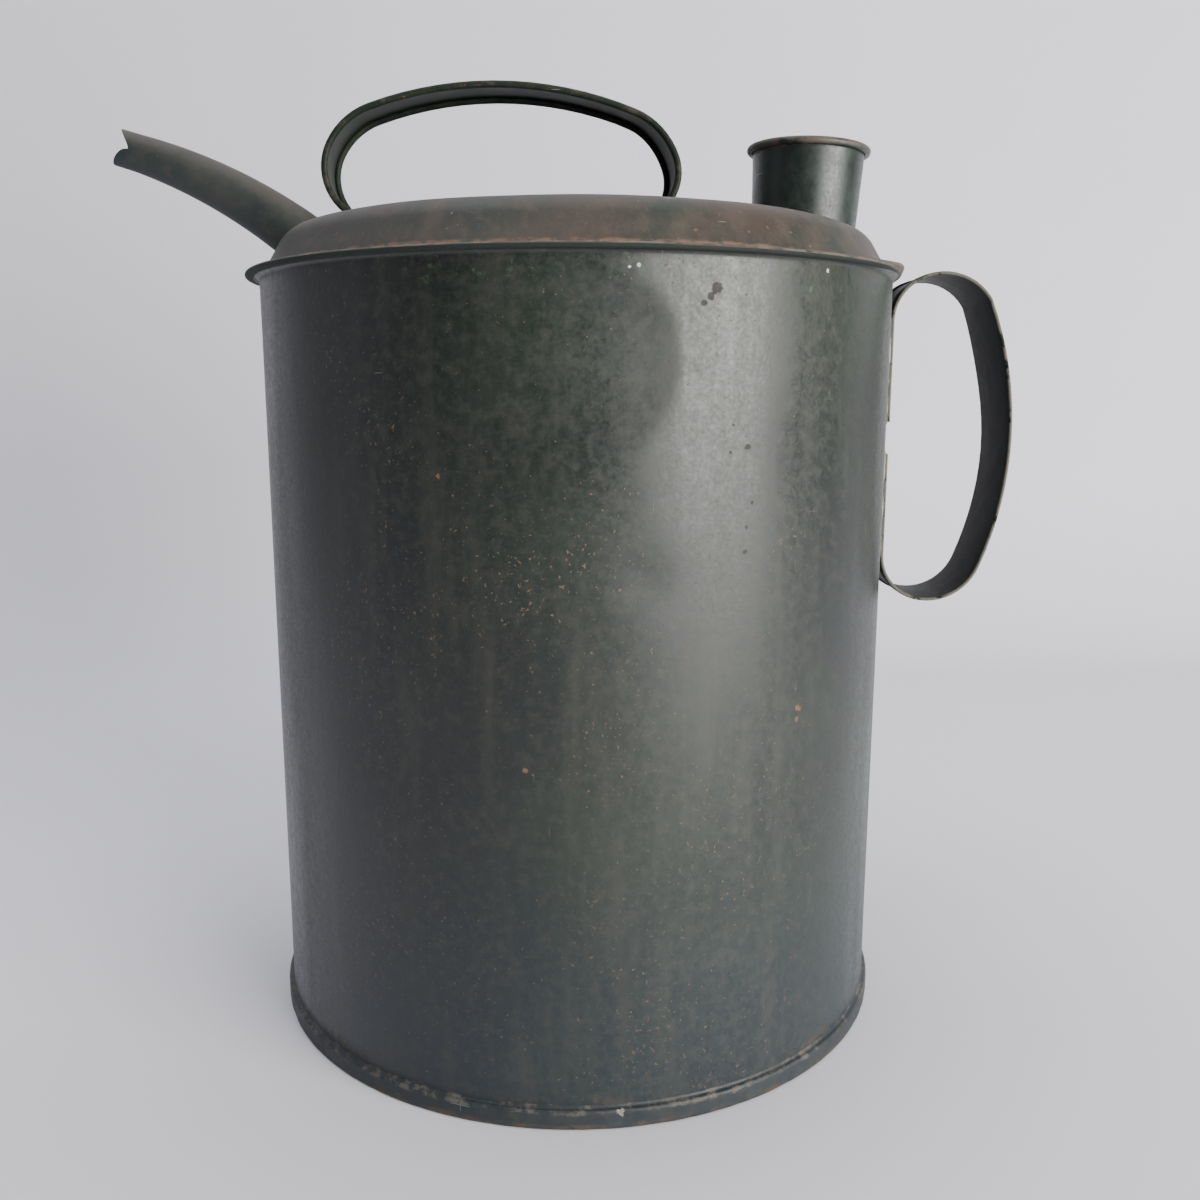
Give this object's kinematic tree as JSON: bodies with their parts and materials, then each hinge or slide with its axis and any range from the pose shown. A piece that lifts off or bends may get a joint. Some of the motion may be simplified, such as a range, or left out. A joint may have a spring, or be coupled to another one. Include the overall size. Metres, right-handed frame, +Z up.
{
  "type": "oil can",
  "caption": "Cylindrical sheet-metal oil can with a domed top, curved pouring spout, filler neck with push-in lid, strap carrying handle and side pouring handle.",
  "frame": {"origin": "centre of the drum at floor level, in the plane of its base seam", "axes": "+Z up, the spout points to -X, the side handle to +X; the plane Y = 0 holds the spout, both handles and the filler"},
  "size_m": [0.318, 0.2292, 0.3252],
  "materials": {
    "body_paint": "worn satin dark bottle-green enamel with rust freckles",
    "dome_paint": "matt brown rust patina over green enamel",
    "seam_paint": "scuffed enamel with rust on the folded edges",
    "spout_paint": "satin grey-green enamel, dusty brown on top",
    "handle_paint": "glossy dark green enamel, rubbed to metal along the edges",
    "filler_paint": "glossy dark green enamel, worn rim",
    "wire_steel": "dull worn steel wire",
    "solder": "dull grey soft solder"
  },
  "bodies": {
    "can": {"body_shell": "body_paint", "side_seam_solder": "solder", "bottom_plate": "seam_paint", "bottom_seam_solder": "solder", "top_dome": "dome_paint", "top_seam_solder": "solder", "spout_tube": "spout_paint", "spout_solder": "solder", "filler_neck": "filler_paint", "filler_rim_wire": "wire_steel", "filler_solder": "solder", "top_handle_strap": "handle_paint", "top_handle_wire_front": "wire_steel", "top_handle_wire_back": "wire_steel", "top_handle_solder_spout_end": "solder", "top_handle_solder_filler_end": "solder", "side_handle_strap": "handle_paint", "side_handle_solder_upper": "solder", "side_handle_solder_lower": "solder"},
    "lid": {"filler_lid": "filler_paint", "lid_ring_clip": "wire_steel", "lid_clip_solder": "solder"},
    "pull_ring": {"lid_pull_ring": "wire_steel"}
  },
  "joints": [
    {"name": "lid_lift", "type": "slide", "parent": "can", "child": "lid", "axis": [0.0419, 0, 0.9991], "range_m": [0, 0.045]},
    {"name": "ring_hinge", "type": "hinge", "parent": "lid", "child": "pull_ring", "pos_m": [0.0812, 0, 0.29181], "axis": [0, 1, 0], "range_deg": [0, 175]}
  ]
}
